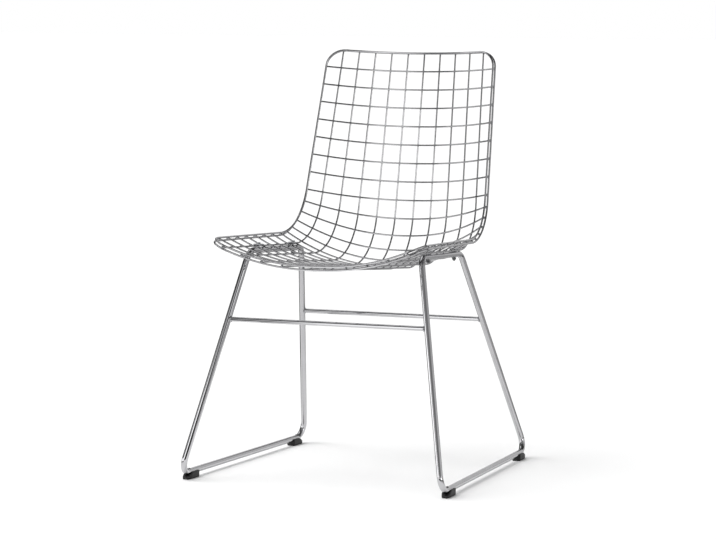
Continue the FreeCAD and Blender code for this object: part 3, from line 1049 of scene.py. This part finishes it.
class CHAIR_OT_rivets(Operator):
    """Set a rivet over each glide, through the runner"""

    bl_idname = "chair.rivets"
    bl_label = "Glide Rivets"

    def execute(self, context):
        s, d, f = all_sizes(context)
        bm = bmesh.new()
        top = f.glide_base + d.rod - RIVET_SINK
        for end, side_name, side in CORNERS:
            shift = Matrix.Translation((0.0, f.glide_length * RIVET_PLACE, top))
            spot = glide_frame(s, d, f, side, end) @ shift
            add_dome(bm, spot, RIVET_RADIUS, RIVET_HEIGHT, RIVET_RINGS)
        finish_piece(bm, "glide_rivets", "frame_rod_chrome")
        return {"FINISHED"}


def clamp_frame(s, d, f, side, v):
    """A frame on the rail's centre beside the outermost wire, its Y along the rail."""
    share = long_share(s, s.long_wires, v)
    wire = layer_point(s, share, v, -wire_layer(s))
    corners = sled_corners(s, d, f, side)
    start = corners["rail_front"]
    along = (corners["rail_rear"] - start).normalized()
    spot = start + along * ((wire.y - start.y) / along.y)
    across = along.cross(UP).normalized()
    turned = Matrix((across, along, across.cross(along))).transposed()
    place = Matrix.Translation(spot) @ turned.to_4x4()
    high = (place.inverted() @ Vector((side * wire.x, wire.y, wire.z))).z
    return place, high


def add_disc(bm, place, radius, height, sides=DISC_SIDES):
    """A flat disc or an upright prism that stands on the frame's XY plane."""
    return bmesh.ops.create_cone(
        bm, cap_ends=True, segments=sides, radius1=radius, radius2=radius,
        depth=height, matrix=place @ lift(height / 2.0),
    )["verts"]


def add_hexagon(bm, place, across, height):
    """A hexagonal prism that stands on the frame's XY plane, its far rim chamfered."""
    prism = add_disc(bm, place, across / 2.0 / math.cos(math.pi / 6.0), height, 6)
    far = place @ Vector((0.0, 0.0, height))
    up = place.to_3x3().col[2]
    rim = [
        e for e in edges_of(prism)
        if all((v.co - far).dot(up) > -height * 0.1 for v in e.verts)
    ]
    round_edges(bm, rim, height * HEAD_CHAMFER, 2, clamp=True)


def clamp_plate(f, low):
    """A flat plate with its underside at this height, its corners and edges rounded."""
    bm = bmesh.new()
    size = Vector((f.clamp_width, f.clamp_length, f.clamp_thick, 1.0))
    middle = lift(low + f.clamp_thick / 2.0)
    bmesh.ops.create_cube(bm, size=1.0, matrix=middle @ Matrix.Diagonal(size))
    upright = [
        e for e in bm.edges
        if abs(e.verts[0].co.z - e.verts[1].co.z) > f.clamp_thick / 2.0
    ]
    round_edges(bm, upright, PLATE_CORNER, 6)
    round_edges(bm, sharp_edges(bm, PLATE_ROUND), PLATE_EDGE, 2)
    return bm


class CHAIR_OT_clamps(Operator):
    """Bolt the shell to the rails with plates, screws and cap nuts"""

    bl_idname = "chair.clamps"
    bl_label = "Clamps"

    def execute(self, context):
        s, d, f = all_sizes(context)
        rows = {"front": f.clamp_front_row, "rear": f.clamp_rear_row}
        under = -d.rod / 2.0 - NUT_ROOM
        washer = f.head_across * WASHER_RADIUS
        screws = bmesh.new()
        nuts = bmesh.new()
        for end, side_name, side in CORNERS:
            place, high = clamp_frame(s, d, f, side, rows[end])
            low = high + s.mesh_wire / 2.0 + PLATE_ROOM
            bm = clamp_plate(f, low)
            bmesh.ops.transform(bm, matrix=place, verts=bm.verts)
            sharpen(bm, PLATE_CRISP)
            node = "clamp_%s_%s" % (end, side_name)
            finish_piece(bm, node + "_plate", "zinc_plate", [node])

            up = place @ lift(low + f.clamp_thick)
            add_disc(screws, up, washer, WASHER_THICK)
            seat = up @ lift(WASHER_THICK - WASHER_SINK)
            add_hexagon(screws, seat, f.head_across, f.head_height - HEAD_SINK)
            stem = place @ lift(under)
            shank = low + f.clamp_thick - under
            add_disc(screws, stem, f.screw / 2.0, shank, SCREW_SIDES)
            down = stem @ Matrix.Rotation(math.pi, 4, "X")
            add_disc(nuts, down, washer, WASHER_THICK)
            body = down @ lift(WASHER_THICK - WASHER_SINK)
            add_hexagon(nuts, body, f.head_across, f.nut_height * NUT_BODY)
            crown = body @ lift(f.nut_height * CROWN_START)
            add_dome(nuts, crown, f.head_across * CROWN_RADIUS, f.nut_height * CROWN_HEIGHT)
        # The nuts take the darker copy of the zinc, a painted dark reflection
        turned = (
            (screws, "clamp_screws", "zinc_plate"),
            (nuts, "clamp_nuts", "nut_plate"),
        )
        for bm, name, kind in turned:
            sharpen(bm, SCREW_CRISP)
            finish_piece(bm, name + "_turned", kind, [name])
        return {"FINISHED"}


# Stage


def mask(tree, value, low, high):
    """0 below low, 1 above high, smooth between."""
    node = new_node(tree, "MapRange", {"Value": value, "From Min": low, "From Max": high})
    node.interpolation_type = "SMOOTHSTEP"
    return node.outputs["Result"]


def band(tree, value, low, high, soft):
    """1 between low and high, with soft edges."""
    rise = mask(tree, value, low - soft, low + soft)
    fall = mask(tree, value, high - soft, high + soft)
    return combine(tree, "SUBTRACT", rise, fall)


def heading(bearing, height):
    """The direction at this bearing from the chair's front and this height, in degrees."""
    a = math.radians(bearing)
    e = math.radians(height)
    return Vector((math.sin(a) * math.cos(e), -math.cos(a) * math.cos(e), math.sin(e)))


def sine(degrees):
    return math.sin(math.radians(degrees))


def screens(tree, x, y):
    """The screens round the chair, by the bearing from its front, positive to its right."""
    ahead = times(tree, y, -1.0)
    turn = combine(tree, "ARCTAN2", x, ahead)
    bearing = times(tree, turn, math.degrees(1.0))
    found = {
        name: band(tree, bearing, low, high, soft) for name, low, high, soft in SCREENS
    }
    found["behind"] = mask(tree, combine(tree, "ABSOLUTE", bearing, 0.0), *BEHIND)
    return found


def add_up(tree, parts, base):
    """The base and the sum of masks, each with its strength."""
    for part, strength in parts:
        base = plus(tree, times(tree, part, strength), base)
    return base


def leaning_edge(tree, y, z):
    """1 below a plane that leans like the back, dark just over it and weak above that."""
    lean = math.radians(EDGE_LEAN)
    rise = times(tree, z, math.cos(lean))
    over = plus(tree, times(tree, y, math.sin(lean)), rise)
    lit = combine(tree, "SUBTRACT", 1.0, mask(tree, over, *EDGE_END))
    rest = times(tree, mask(tree, over, *EDGE_REST), EDGE_REST_SHARE)
    return plus(tree, lit, rest)


def build_world(scene):
    """A white studio as the camera sees it, with white screens for the chrome to mirror."""
    world = bpy.data.worlds.new("studio")
    world.use_nodes = True
    scene.world = world
    tree = world.node_tree
    where = tree.nodes.new("ShaderNodeTexCoord")
    x, y, z = split_axes(tree, where.outputs["Generated"])
    found = screens(tree, x, y)
    edge = leaning_edge(tree, y, z)
    parts = []
    for name, strength, foot, top, soft, leans in SCREEN_HEIGHTS:
        high = band(tree, z, sine(foot), sine(top), soft)
        if leans:
            high = times(tree, high, edge)
        parts.append((times(tree, found[name], high), strength))
    mirrored = add_up(tree, parts, GLOOM)
    rays = tree.nodes.new("ShaderNodeLightPath")
    is_glossy = rays.outputs["Is Glossy Ray"]
    fill = times(tree, combine(tree, "SUBTRACT", 1.0, is_glossy), FILL)
    seen = times(tree, mirrored, is_glossy)
    level = plus(tree, fill, seen)
    level = combine(tree, "MAXIMUM", level, rays.outputs["Is Camera Ray"])
    set_inputs(tree, tree.nodes["Background"], {"Color": WHITE, "Strength": level})


def add_sun(name, height, spread, strength):
    """A broad soft light from the suns' bearing."""
    lamp = bpy.data.lights.new(name, "SUN")
    lamp.energy = strength
    lamp.angle = math.radians(spread)
    sun = bpy.data.objects.new(name, lamp)
    sun.visible_glossy = False
    way = heading(SUN_BEARING, height)
    sun.location = way * SUN_DISTANCE
    sun.rotation_euler = (-way).to_track_quat("-Z", "Y").to_euler()
    bpy.context.scene.collection.objects.link(sun)


def floor_material(tint):
    """Pale floor that shows white to the camera and keeps the chair's shadow."""
    material, tree, shader, where = new_material("pale_floor")
    cloud = add_noise(tree, where, 3.0, 3.0)
    share = add_range(tree, cloud, 0.3, 0.7)
    tone = add_blend(tree, share, shade(tint), shade(tint, 0.985))
    rays = tree.nodes.new("ShaderNodeLightPath")
    # the chrome mirrors the floor near the chair as it is, and the screens' light beyond
    span = new_node(tree, "VectorMath", {"Vector": where})
    span.operation = "LENGTH"
    far = mask(tree, span.outputs["Value"], FLOOR_NEAR, FLOOR_FAR)
    unlit = times(tree, far, rays.outputs["Is Glossy Ray"])
    x, y, z = split_axes(tree, where)
    found = screens(tree, x, y)
    parts = [(found[name], strength) for name, strength in SCREEN_FLOOR]
    glossy = times(tree, add_up(tree, parts, 0.0), unlit)
    camera = times(tree, rays.outputs["Is Camera Ray"], FLOOR_GLOW)
    set_inputs(tree, shader, {
        "Base Color": add_blend(tree, unlit, tone, BLACK),
        "Roughness": 0.9,
        "Specular IOR Level": 0.0,
        "Emission Color": WHITE,
        "Emission Strength": plus(tree, camera, glossy),
    })
    return material


class CHAIR_OT_stage(Operator):
    """Set the floor, the soft studio light and the camera"""

    bl_idname = "chair.stage"
    bl_label = "Stage"

    def execute(self, context):
        scene = context.scene
        bm = bmesh.new()
        bmesh.ops.create_grid(bm, x_segments=1, y_segments=1, size=FLOOR_HALF)
        mesh = bpy.data.meshes.new("floor")
        bm.to_mesh(mesh)
        bm.free()
        mesh.materials.append(floor_material(scene.chair_finishes.floor))
        floor = bpy.data.objects.new("floor", mesh)
        scene.collection.objects.link(floor)

        build_world(scene)
        for sun in SUNS:
            add_sun(*sun)

        camera = bpy.data.cameras.new("camera")
        camera.sensor_fit = "HORIZONTAL"
        camera.sensor_width = SENSOR_WIDTH
        camera.lens = SENSOR_WIDTH * CAMERA_FOCUS / IMAGE_WIDTH
        camera.clip_start = 0.1
        camera.clip_end = 100.0
        eye = bpy.data.objects.new("camera", camera)
        back = heading(CAMERA_BEARING, CAMERA_HEIGHT)
        eye.location = Vector(CAMERA_TARGET) + back * CAMERA_DISTANCE
        eye.rotation_euler = (-back).to_track_quat("-Z", "Y").to_euler()
        scene.collection.objects.link(eye)
        scene.camera = eye
        scene.view_settings.view_transform = "Standard"
        return {"FINISHED"}


# Panel and start


STEPS = (
    CHAIR_OT_stage,
    CHAIR_OT_rims,
    CHAIR_OT_long_wires,
    CHAIR_OT_cross_wires,
    CHAIR_OT_welds,
    CHAIR_OT_sleds,
    CHAIR_OT_stretchers,
    CHAIR_OT_glides,
    CHAIR_OT_rivets,
    CHAIR_OT_clamps,
)


class CHAIR_PT_panel(Panel):
    """Sizes, colours and pieces of the wire mesh chair"""

    bl_idname = "CHAIR_PT_panel"
    bl_label = "Wire Mesh Chair"
    bl_space_type = "VIEW_3D"
    bl_region_type = "UI"
    bl_category = "Wire Chair"

    def draw(self, context):
        layout = self.layout
        for step in STEPS:
            layout.operator(step.bl_idname)
        for group in GROUPS:
            box = layout.box()
            held = getattr(context.scene, GROUPS[group])
            for name in group.__annotations__:
                box.prop(held, name)


GROUPS = {
    ShellSizes: "chair_shell",
    SledSizes: "chair_sleds",
    FittingSizes: "chair_fittings",
    Finishes: "chair_finishes",
}


def register():
    for group, name in GROUPS.items():
        bpy.utils.register_class(group)
        setattr(bpy.types.Scene, name, PointerProperty(type=group))
    for step in STEPS:
        bpy.utils.register_class(step)
    bpy.utils.register_class(CHAIR_PT_panel)


def unregister():
    bpy.utils.unregister_class(CHAIR_PT_panel)
    for step in reversed(STEPS):
        bpy.utils.unregister_class(step)
    for group, name in GROUPS.items():
        delattr(bpy.types.Scene, name)
        bpy.utils.unregister_class(group)


def main():
    register()
    for step in STEPS:
        group, name = step.bl_idname.split(".")
        getattr(getattr(bpy.ops, group), name)()


if __name__ == "__main__":
    main()
